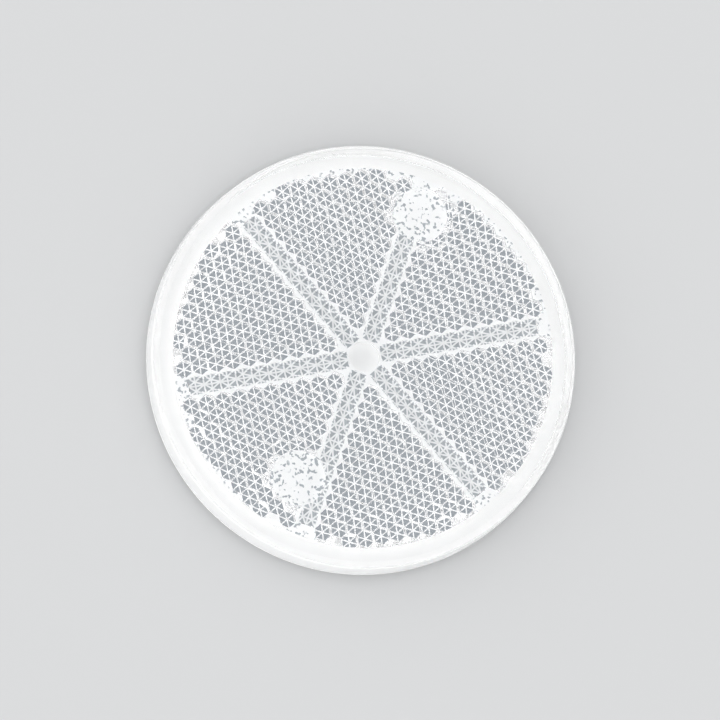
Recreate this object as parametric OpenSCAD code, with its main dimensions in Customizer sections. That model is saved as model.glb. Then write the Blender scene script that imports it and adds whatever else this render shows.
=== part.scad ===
// Round prism reflector, stuck on by its back.
// A clear lens with moulded corner-cube prisms is welded onto a white back plate, whose flange closes the skirt,
// and a foam adhesive pad covers the plate's back.
// +Z is the way the front face looks. The origin is the centre of the pad's rear face.
// +Y runs along the prism band that passes the two plain mark pads.

/* [Lens] */
// Outer diameter at the open end of the skirt
lens_d = 60; // [45:1:90]
// Thickness of the clear web in front of the prisms
web_t = 2.1; // [1.5:0.1:4]
// Radius of the rounded front edge
edge_r = 1.2; // [0.4:0.1:2]
// How much smaller the side wall's radius is at the rounded edge than at its open end
side_draft = 0.35; // [0:0.05:0.8]
// Wall thickness of the skirt round the back plate
skirt_t = 1.3; // [0.8:0.1:2]
// Width of the flat ring by which the lens is welded to the plate
weld_w = 2.1; // [1.5:0.05:5]
// Diameter of the clear post in the middle
post_d = 4.4; // [2:0.1:4.4]

/* [Prisms] */
// Distance across the flats of one hexagonal prism
pitch = 2.27; // [2:0.01:2.8]
// Air gap between the prism tips and the level of the weld
tip_gap = 0.3; // [0.1:0.05:1]
// Step between the deepest prism valleys and the flat lands around the prisms
land_step = 0.05; // [0.02:0.01:0.3]
// Plain ground between the last prism of a band and the weld ring
band_end = 2.4; // [1.5:0.1:6]
// How far inside the weld ring's edge the outermost prisms of a ragged sector are centred
ragged_in = 0.6; // [0.6:0.05:4]
// How far past the weld ring's edge the outermost, cut prisms of a full sector are centred
full_out = 1; // [0.1:0.05:1]

/* [Mark pads] */
// Diameter of the two plain pads between the prisms
mark_d = 7.7; // [4:0.1:9.4]
// Distance of the first pad from the middle
mark_1_r = 21.7; // [8:0.1:22]
// Direction of the first pad, counted from +X
mark_1_angle = 87.6; // [80:0.1:100]
// Distance of the second pad from the middle
mark_2_r = 19.3; // [8:0.1:22]
// Direction of the second pad, counted from +X
mark_2_angle = 260.8; // [255:0.1:285]

/* [Back plate] */
// Thickness of the plate's floor
plate_t = 1.3; // [1.2:0.1:3]
// Thickness of the flange that reaches out under the skirt
flange_t = 0.7; // [0.6:0.1:1.1]
// Height of the ring and the boss that carry the lens above the floor
seat_h = 0.6; // [0.3:0.1:1.5]
// Diameter of the boss under the lens's post
boss_d = 5; // [3:0.1:5.4]
// Gap between the plate and the skirt, at its inside and its end
plate_clear = 0.1; // [0.05:0.01:0.3]
// Chamfer on the flange's rear edge
plate_chamfer = 0.3; // [0.1:0.05:0.5]

/* [Adhesive pad] */
// Diameter of the foam pad
foam_d = 50; // [20:1:56]
// Thickness of the foam pad
foam_t = 1; // [0.5:0.1:2]

/* [Hidden] */

// How deep the prisms and pads reach into the web that they stand on
rooted = 0.3;
lens_r = lens_d / 2;
plate_r = lens_r - skirt_t - plate_clear;
field_r = lens_r - skirt_t - weld_w;

// A corner-cube prism is a hexagon of this corner radius, whose three square faces
// rise by two steps from its tip to its deepest corners
hex_r = pitch / sqrt(3);
level = hex_r / sqrt(2);
prism_depth = 2 * level;

plate_back_z = foam_t;
flange_z = plate_back_z + flange_t;
skirt_z = flange_z + plate_clear;
floor_z = plate_back_z + plate_t;
seat_z = floor_z + seat_h;
tip_z = seat_z + tip_gap;
land_z = tip_z + prism_depth + land_step;
front_z = land_z + web_t;

// Each sector starts at a band. Three sectors end raggedly in whole prisms, the rest run into the weld ring.
sector_turn = [30, 90, 150, 210, 270, 330];
ragged = [true, true, false, true, false, false];

// The lattice of the prisms counts in half flats along x, half corner radii along y
// and half levels along z, so that prisms that meet share the very same points
function lattice(m, n, l) = [m * pitch / 2, n * hex_r / 2, tip_z + l * level / 2];
function roof(m, n) = [m * pitch / 2, n * hex_r / 2, land_z + rooted];
// Corners of a hexagon as lattice steps from its middle, from the one at 30 degrees on
hex_steps = [[1, 1], [0, 2], [-1, 1], [-1, -1], [0, -2], [1, -1]];
function reach(c) = norm([c[0] * pitch / 2, c[1] * hex_r / 2]);

// Sector prisms, in rows i and places j counted from the corner between two bands
function middle(i, j) = [4 + 2 * j + i, 4 + 3 * i];
// The neighbours across the six sides, from the one on the side at 0 degrees on
side_steps = [[0, 1], [1, 0], [1, -1], [0, -1], [-1, 0], [-1, 1]];
function in_sector(i, j, limit) = i >= 0 && j >= 0 && reach(middle(i, j)) <= limit;
function sector_cells(limit) =
    let (rows = ceil(limit / hex_r))
    [for (i = [0 : rows]) for (j = [0 : rows]) if (in_sector(i, j, limit)) [i, j]];
// Levels of a sector prism's corners: every other one ends a ridge, the rest are pits
sector_levels = [4, 2, 4, 2, 4, 2];

// The three square faces of a sector prism, its roof and its walls to where no prism is
function sector_faces(i, j, limit) =
    let (
        c = middle(i, j),
        low = [for (q = [0 : 5]) lattice(c[0] + hex_steps[q][0], c[1] + hex_steps[q][1], sector_levels[q])],
        high = [for (q = [0 : 5]) roof(c[0] + hex_steps[q][0], c[1] + hex_steps[q][1])],
        tip = lattice(c[0], c[1], 0)
    )
    concat(
        [for (q = [1, 3, 5]) [tip, low[(q + 2) % 6], low[(q + 1) % 6], low[q]]],
        [high],
        [for (s = [0 : 5])
            if (!in_sector(i + side_steps[s][0], j + side_steps[s][1], limit))
                let (a = (s + 5) % 6, b = s) [low[a], low[b], high[b], high[a]]]
    );

// Levels of a band prism's corners
band_levels = [3, 2, 3, 3, 2, 3];
// Lattice steps and levels of the pits in the middles of its right and left sides,
// then of its upper and lower tips and of the saddle between them
band_mids = [[1, 0, 4], [-1, 0, 4], [0, 1, 0], [0, -1, 0], [0, 0, 1]];
// The same for the ends of the ridges that run to its four slanted sides, anticlockwise
band_ridges = [[0.5, 1.5, 1], [-0.5, 1.5, 1], [-0.5, -1.5, 1], [0.5, -1.5, 1]];

// A band prism is two corner cubes side by side, whose tips a ridge joins across the band
function band_faces(k, count) =
    let (
        m = 2 * k + 1,
        low = [for (q = [0 : 5]) lattice(m + hex_steps[q][0], hex_steps[q][1], band_levels[q])],
        high = [for (q = [0 : 5]) roof(m + hex_steps[q][0], hex_steps[q][1])],
        mids = [for (p = band_mids) lattice(m + p[0], p[1], p[2])],
        ridge = [for (p = band_ridges) lattice(m + p[0], p[1], p[2])],
        right = mids[0],
        left = mids[1],
        up = mids[2],
        down = mids[3],
        saddle = mids[4]
    )
    concat(
        [[up, ridge[1], low[1], ridge[0]], [up, ridge[0], low[0], right, saddle]],
        [[up, saddle, left, low[2], ridge[1]], [down, ridge[3], low[4], ridge[2]]],
        [[down, saddle, right, low[5], ridge[3]], [down, ridge[2], low[3], left, saddle]],
        [high],
        [for (s = [1, 2]) [low[s - 1], ridge[s - 1], low[s], high[s], high[s - 1]]],
        [for (s = [4, 5]) [low[s - 1], ridge[s - 2], low[s], high[s], high[s - 1]]],
        k == count ? [[right, low[0], high[0]], [right, high[0], high[5]], [right, high[5], low[5]]] : [],
        k == 1 ? [[left, low[3], high[3]], [left, high[3], high[2]], [left, high[2], low[2]]] : []
    );

// A closed solid from a list of faces, each a list of points that run anticlockwise seen from outside
module faces_solid(faces) {
    points = [for (f = faces) for (p = f) p];
    starts = [for (i = 0, s = 0; i < len(faces); s = s + len(faces[i]), i = i + 1) s];
    polyhedron(points, [for (i = [0 : len(faces) - 1]) [for (q = [len(faces[i]) - 1 : -1 : 0]) starts[i] + q]]);
}

module sector(limit) {
    faces_solid([for (c = sector_cells(limit)) each sector_faces(c[0], c[1], limit)]);
}

module band() {
    count = floor((field_r - band_end) / pitch - 0.5);
    faces_solid([for (k = [1 : count]) each band_faces(k, count)]);
}

module mark_pad(r, angle) {
    end_z = tip_z - land_step;
    rotate(angle) translate([r, 0, end_z]) cylinder(d = mark_d, h = land_z + rooted - end_z, $fn = 64);
}

module lens_body() {
    top_r = lens_r - side_draft;
    skirt_in_r = lens_r - skirt_t;
    rotate_extrude($fn = 128) difference() {
        polygon([
            [0, front_z], [top_r, front_z], [top_r, front_z - edge_r], [lens_r, skirt_z],
            [skirt_in_r, skirt_z], [skirt_in_r, seat_z], [field_r, seat_z], [field_r, land_z],
            [post_d / 2, land_z], [post_d / 2, seat_z], [0, seat_z]
        ]);
        translate([top_r - edge_r, front_z - edge_r]) difference() {
            square(2 * edge_r);
            circle(r = edge_r, $fn = 64);
        }
    }
}

module lens() {
    color([0.86, 0.90, 0.93, 0.6]) union() {
        rotate(sector_turn[1]) lens_body();
        for (s = [0 : 5]) rotate(sector_turn[s]) {
            sector(ragged[s] ? field_r - ragged_in : field_r + full_out);
            band();
        }
        mark_pad(mark_1_r, mark_1_angle);
        mark_pad(mark_2_r, mark_2_angle);
    }
}

module back_plate() {
    color("white") rotate_extrude($fn = 128) polygon([
        [0, plate_back_z], [lens_r - plate_chamfer, plate_back_z], [lens_r, plate_back_z + plate_chamfer],
        [lens_r, flange_z], [plate_r, flange_z], [plate_r, seat_z], [field_r, seat_z], [field_r, floor_z],
        [boss_d / 2, floor_z], [boss_d / 2, seat_z], [0, seat_z]
    ]);
}

module adhesive_pad() {
    color([0.93, 0.93, 0.90]) cylinder(d = foam_d, h = foam_t, $fn = 128);
}

lens();
back_plate();
adhesive_pad();
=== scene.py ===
import math

import bpy
from mathutils import Matrix, Vector

MM = 0.001

# The prisms as the lens has them
PITCH = 2.27 * MM
HEX_R = PITCH / math.sqrt(3)
FIRST_BAND = 30
BANDS = 6
# How far from the middle the bands reach
BAND_R = 24.8 * MM
# Heights of the flat ground between the prisms and of their tips, above the pad's rear face
LAND_Z = 5.103 * MM
TIP_Z = 3.2 * MM

# Distances from an edge up to which it is white, and from which on the facet is clear
RIDGE_LINE = (0.05 * MM, 0.10 * MM)
BORDER_LINE = (0.04 * MM, 0.08 * MM)
BAND_LINE = (0.08 * MM, 0.16 * MM)
# Radii between which the satin of the side wall sets in
WALL_R = (29.3 * MM, 29.6 * MM)
WHITE = (0.99, 0.995, 1, 1)
# The grey painted where the lens would reflect the dark sky overhead, a painted reflection
REFLECTION_GREY = (0.40, 0.43, 0.46, 1)
# How thickly the bands are painted grey between their lines, a painted reflection of the dark sky overhead
PAINTED_REFLECTION_WEIGHT = 0.93

# The camera stands this far from straight over the reflector, towards the picture's lower left
TILT = 11.2
TILT_TOWARDS = 225
TURN = 19.64
DISTANCE = 0.55
LENS_D = 60 * MM
# Pixels of the 720 wide picture that the reflector's diameter covers
PICTURE = 720
DIAMETER_PX = 430.3
# The point of the reflector in the middle of the picture
AIM = Vector((-0.213, -0.217, 3.2)) * MM

# The way to the brightest side of the studio, level with the floor
SIDE_TURN = math.radians(195 + TURN)
# Light from the sides, what the brightest side adds, and the sky straight over the reflector
SIDE_LIGHT = 1.25
SIDE_MORE = 0.3
OVERHEAD = (0.35, 0.38, 0.41, 1)
# Heights of the sky's direction between which the side light gives way to the overhead patch
OVERHEAD_EDGE = (0.945, 0.968)


class Graph:
    """Short forms for the nodes of one material or world."""

    def __init__(self, tree):
        self.nodes, self.links = tree.nodes, tree.links

    def node(self, kind, inputs=None, **settings):
        made = self.nodes.new(kind)
        for name, value in settings.items():
            setattr(made, name, value)
        for name, value in (inputs or {}).items():
            self.feed(made.inputs[name], value)
        return made

    def feed(self, socket, value):
        if isinstance(value, bpy.types.NodeSocket):
            self.links.new(value, socket)
        else:
            socket.default_value = value

    def math(self, operation, *values, clamp=False):
        inputs = dict(enumerate(values))
        return self.node("ShaderNodeMath", inputs, operation=operation, use_clamp=clamp).outputs[0]

    def mix(self, factor, a, b):
        """a where factor is 0, b where it is 1."""
        return self.math("ADD", a, self.math("MULTIPLY", factor, self.math("SUBTRACT", b, a)))

    def colour(self, factor, a, b):
        made = self.node("ShaderNodeMix", data_type="RGBA")
        for socket, value in zip((made.inputs[0], made.inputs[6], made.inputs[7]), (factor, a, b)):
            self.feed(socket, value)
        return made.outputs[2]

    def step(self, value, start, end):
        """0 up to start, 1 from end on, smooth between."""
        inputs = {"Value": value, "From Min": start, "From Max": end}
        made = self.node("ShaderNodeMapRange", inputs, interpolation_type="SMOOTHSTEP")
        return made.outputs["Result"]

    def less(self, value):
        """1 where value is 0, 0 where it is 1."""
        return self.math("SUBTRACT", 1, value)

    def all_of(self, *masks):
        result = masks[0]
        for mask in masks[1:]:
            result = self.math("MULTIPLY", result, mask)
        return result

    def noise(self, place, scale, detail=2, **inputs):
        """Noise from 0 to 1 with scale features to the millimetre."""
        made = self.node("ShaderNodeTexNoise", {"Vector": place, "Scale": scale, "Detail": detail, **inputs})
        return made.outputs["Fac"]

    def bump(self, shader, height, strength, distance):
        inputs = {"Height": height, "Strength": strength, "Distance": distance}
        self.feed(shader.inputs["Normal"], self.node("ShaderNodeBump", inputs).outputs[0])

    def millimetres(self):
        """The object's own coordinates in millimetres."""
        inputs = {0: self.node("ShaderNodeTexCoord").outputs["Object"], "Scale": 1 / MM}
        return self.node("ShaderNodeVectorMath", inputs, operation="SCALE").outputs[0]


def material(name, **constants):
    made = bpy.data.materials.new(name)
    made.use_nodes = True
    shader = made.node_tree.nodes["Principled BSDF"]
    for socket, value in constants.items():
        shader.inputs[socket.replace("_", " ")].default_value = value
    return made, Graph(made.node_tree), shader


def hexagon_offset(g, x, y):
    """Place inside the nearest prism of a sector, counted from the prism's middle."""
    def offset(shift_x, shift_y):
        a = g.math("WRAP", g.math("ADD", x, shift_x), PITCH / 2, -PITCH / 2)
        b = g.math("WRAP", g.math("ADD", y, shift_y), 1.5 * HEX_R, -1.5 * HEX_R)
        return a, b, g.math("ADD", g.math("MULTIPLY", a, a), g.math("MULTIPLY", b, b))

    ax, ay, a_far = offset(0, -2 * HEX_R)
    bx, by, b_far = offset(PITCH / 2, -0.5 * HEX_R)
    nearer_b = g.math("LESS_THAN", b_far, a_far)
    return g.mix(nearer_b, ax, bx), g.mix(nearer_b, ay, by)


def clear_lens():
    made, g, shader = material("clear_lens", IOR=1.49)
    place = g.node("ShaderNodeSeparateXYZ", {0: g.node("ShaderNodeTexCoord").outputs["Object"]})
    x, y, z = place.outputs
    normal = g.node("ShaderNodeSeparateXYZ", {0: g.node("ShaderNodeNewGeometry").outputs["True Normal"]})
    slope = g.math("ABSOLUTE", normal.outputs[2])

    # The six bands and sectors folded into one wedge between a band and the middle of a sector
    radius = g.math("SQRT", g.math("ADD", g.math("MULTIPLY", x, x), g.math("MULTIPLY", y, y)))
    turn = g.math("SUBTRACT", g.math("ARCTAN2", y, x), math.radians(FIRST_BAND))
    half = math.pi / BANDS
    turn = g.math("ABSOLUTE", g.math("WRAP", turn, half, -half))
    along = g.math("MULTIPLY", radius, g.math("COSINE", turn))
    across = g.math("MULTIPLY", radius, g.math("SINE", turn))
    in_band = g.math("LESS_THAN", across, HEX_R)

    # Distances to the ridges that run from a prism's tip and to its borders
    sector_x, sector_y = hexagon_offset(g, along, across)
    band_x = g.math("WRAP", g.math("ADD", along, PITCH / 2), PITCH / 2, -PITCH / 2)
    band_y = g.math("SUBTRACT", across, HEX_R / 2)
    px = g.mix(in_band, sector_x, band_x)
    py = g.mix(in_band, sector_y, band_y)
    angle = g.math("ARCTAN2", py, px)
    reach = g.math("SQRT", g.math("ADD", g.math("MULTIPLY", px, px), g.math("MULTIPLY", py, py)))
    third = math.pi / 3
    first_ridge = g.mix(in_band, math.pi / 2, math.pi / 6)
    off_ridge = g.math("SINE", g.math("WRAP", g.math("SUBTRACT", angle, first_ridge), third, -third))
    ridge = g.math("MULTIPLY", reach, g.math("ABSOLUTE", off_ridge))
    side = g.math("COSINE", g.math("WRAP", angle, math.pi / 6, -math.pi / 6))
    sector_border = g.math("SUBTRACT", PITCH / 2, g.math("MULTIPLY", reach, side))
    band_side = g.math("ABSOLUTE", band_x)
    band_rise = g.math("ABSOLUTE", band_y)
    off_side = g.math("SUBTRACT", PITCH / 2, band_side)
    off_end = g.math("SUBTRACT", HEX_R / 2, band_rise)
    band_border = g.math("MINIMUM", off_side, off_end)
    border = g.mix(in_band, sector_border, band_border)

    facet = g.all_of(
        g.math("LESS_THAN", slope, 0.7),
        g.math("GREATER_THAN", slope, 0.45),
        g.math("LESS_THAN", z, LAND_Z + 0.01 * MM),
    )
    ridge_line = g.less(g.step(ridge, *RIDGE_LINE))
    border_line = g.less(g.step(border, *BORDER_LINE))
    line = g.math("MULTIPLY", facet, g.math("MAXIMUM", ridge_line, border_line))

    # The flat ends of the mark pads and the flat ground between the prisms are matt white
    mm = g.millimetres()
    flat = g.math("GREATER_THAN", slope, 0.95)
    pad_end = g.all_of(
        flat,
        g.math("LESS_THAN", z, TIP_Z),
        g.math("GREATER_THAN", z, TIP_Z - 0.1 * MM),
    )
    land = g.all_of(
        flat,
        g.math("GREATER_THAN", z, LAND_Z - 0.02 * MM),
        g.math("LESS_THAN", z, LAND_Z + 0.02 * MM),
    )
    matt = g.math("MAXIMUM", pad_end, land)

    # The bands are painted grey between their lines, six of which meet over each tip: a painted reflection
    # of the dark overhead sky, in place of what their prisms turn back
    band_paint_area = g.all_of(
        g.math("MAXIMUM", facet, land),
        in_band,
        g.math("GREATER_THAN", along, PITCH),
        g.math("LESS_THAN", along, BAND_R),
    )
    sixth = math.pi / 6
    off_ray = g.math("SINE", g.math("WRAP", g.math("SUBTRACT", angle, sixth), sixth, -sixth))
    ray = g.math("MULTIPLY", reach, g.math("ABSOLUTE", off_ray))
    ray_line = g.less(g.step(g.math("MINIMUM", ray, border), *BAND_LINE))
    # Painted reflection: grey between the band lines, white on them
    painted_band_reflection = g.math("MULTIPLY", band_paint_area, g.less(ray_line))
    band_lines_and_reflection = g.math("MULTIPLY", band_paint_area, g.mix(ray_line, PAINTED_REFLECTION_WEIGHT, 1))

    # Grey flecks on the mark pads and past the ends of the bands: a painted reflection of the dark sky
    # overhead in their small facets
    reflection_flecks = g.all_of(
        g.step(g.noise(mm, 1.8, 1), 0.57, 0.61),
        g.step(g.noise(mm, 0.5), 0.38, 0.48),
        matt,
        g.math("MAXIMUM", pad_end, g.math("GREATER_THAN", radius, BAND_R)),
    )

    # The side wall is satin, which scatters some of the light
    wall = g.math("MULTIPLY", g.step(radius, *WALL_R), g.less(g.step(slope, 0.3, 0.8)))
    height = g.node("ShaderNodeCombineXYZ", {2: g.math("MULTIPLY", z, 1 / MM)}).outputs[0]
    streaks = g.noise(height, 3.5, 3)
    satin = g.math("MULTIPLY", wall, g.mix(streaks, 0.35, 0.6))

    # What is painted rather than clear: white lines, matt ground, satin wall, and the bands' painted
    # reflection. Its colour is white, and grey where a reflection of the dark overhead sky is painted
    white = g.math("MAXIMUM", g.math("MAXIMUM", line, matt), g.math("MAXIMUM", satin, band_lines_and_reflection))
    paint_colour = g.colour(g.math("MAXIMUM", reflection_flecks, painted_band_reflection), WHITE, REFLECTION_GREY)
    rough = g.math("MAXIMUM", g.math("MULTIPLY", white, 0.5), g.math("MULTIPLY", wall, 0.2))
    g.feed(shader.inputs["Base Color"], g.colour(white, (1, 1, 1, 1), paint_colour))
    g.feed(shader.inputs["Transmission Weight"], g.less(white))
    g.feed(shader.inputs["Roughness"], rough)
    return made


def white_plate():
    """Moulded plastic with a fine spark-eroded grain."""
    made, g, shader = material("white_plate", IOR=1.54)
    mm = g.millimetres()
    cloud = g.noise(mm, 0.12, 3)
    grain = g.noise(mm, 9, 3, Roughness=0.6)
    g.feed(shader.inputs["Base Color"], g.colour(cloud, (0.97, 0.97, 0.965, 1), (0.98, 0.98, 0.978, 1)))
    g.feed(shader.inputs["Roughness"], g.mix(grain, 0.34, 0.52))
    g.bump(shader, grain, 0.35, 0.02 * MM)
    return made


def foam():
    """Closed-cell foam: round cells of two sizes, painted darker in their pits as painted shade, and a
    slightly yellowed, dusty skin.
    """
    made, g, shader = material("foam", IOR=1.45)
    mm = g.millimetres()
    small = g.node("ShaderNodeTexVoronoi", {"Vector": mm, "Scale": 4.2}).outputs["Distance"]
    large = g.node("ShaderNodeTexVoronoi", {"Vector": mm, "Scale": 1.6}).outputs["Distance"]
    cells = g.math("ADD", g.math("MULTIPLY", small, 0.6), g.math("MULTIPLY", large, 0.4))
    cloud = g.noise(mm, 0.2, 4)
    tint = g.colour(cloud, (0.80, 0.79, 0.74, 1), (0.86, 0.855, 0.82, 1))
    # Painted shade: the cells' pits, low in the bump, are darker
    painted_pit_shade = g.mix(g.step(cells, 0.05, 0.45), 0.86, 1.0)
    g.feed(shader.inputs["Base Color"], g.colour(painted_pit_shade, (0.45, 0.44, 0.41, 1), tint))
    g.feed(shader.inputs["Roughness"], g.mix(cloud, 0.78, 0.92))
    g.bump(shader, cells, 0.8, 0.08 * MM)
    return made


def studio():
    world = bpy.data.worlds.new("studio")
    bpy.context.scene.world = world
    world.use_nodes = True
    g = Graph(world.node_tree)
    direction = g.node("ShaderNodeSeparateXYZ", {0: g.node("ShaderNodeTexCoord").outputs["Generated"]})
    across, up = direction.outputs[:2], direction.outputs[2]
    overhead = g.step(up, *OVERHEAD_EDGE)
    # Brightest towards the picture's left, dimmer towards its right
    towards = g.math(
        "ADD",
        g.math("MULTIPLY", across[0], math.cos(SIDE_TURN)),
        g.math("MULTIPLY", across[1], math.sin(SIDE_TURN)),
    )
    side = g.math("ADD", SIDE_LIGHT, g.math("MULTIPLY", towards, SIDE_MORE))
    around = g.node("ShaderNodeCombineColor", {0: side, 1: side, 2: side}).outputs[0]
    sky = g.colour(overhead, around, OVERHEAD)
    g.feed(world.node_tree.nodes["Background"].inputs["Color"], sky)


def floor():
    bpy.ops.mesh.primitive_plane_add(size=3, location=(0, 0, -0.02 * MM))
    made = bpy.context.object
    made.name = "floor"
    paint, g, shader = material("floor", Base_Color=(0.60, 0.605, 0.61, 1), Roughness=0.9)
    made.data.materials.append(paint)


def camera():
    hinge = math.radians(TILT_TOWARDS + 90)
    tilt = Matrix.Rotation(math.radians(TILT), 3, Vector((math.cos(hinge), math.sin(hinge), 0)))
    turned = Matrix.Rotation(math.radians(TURN), 3, "Z") @ tilt
    made = bpy.data.objects.new("camera", bpy.data.cameras.new("camera"))
    bpy.context.scene.collection.objects.link(made)
    bpy.context.scene.camera = made
    made.data.lens = made.data.sensor_width * DISTANCE * DIAMETER_PX / PICTURE / LENS_D
    made.location = AIM + turned @ Vector((0, 0, DISTANCE))
    made.rotation_mode = "QUATERNION"
    made.rotation_quaternion = turned.to_quaternion()
    made.data.clip_start = 0.01


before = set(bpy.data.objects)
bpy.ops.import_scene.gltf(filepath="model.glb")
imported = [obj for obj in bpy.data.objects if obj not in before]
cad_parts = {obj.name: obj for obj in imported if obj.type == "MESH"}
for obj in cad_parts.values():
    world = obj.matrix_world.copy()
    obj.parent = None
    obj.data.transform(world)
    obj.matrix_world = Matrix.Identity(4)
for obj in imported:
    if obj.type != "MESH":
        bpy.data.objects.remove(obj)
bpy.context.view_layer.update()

for name, paint in (("lens", clear_lens()), ("back_plate", white_plate()), ("adhesive_pad", foam())):
    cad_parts[name].data.materials[0] = paint

# A hair of overlap makes the lens's glass one with the plate, as the weld does
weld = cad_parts["back_plate"].modifiers.new("weld", "DISPLACE")
weld.direction = "Z"
weld.mid_level = 0
weld.strength = 0.012 * MM

floor()
studio()
camera()

scene = bpy.context.scene
scene.view_settings.view_transform = "Standard"
scene.cycles.max_bounces = 24
scene.cycles.glossy_bounces = 16
scene.cycles.transmission_bounces = 24
scene.cycles.diffuse_bounces = 6
scene.cycles.blur_glossy = 0
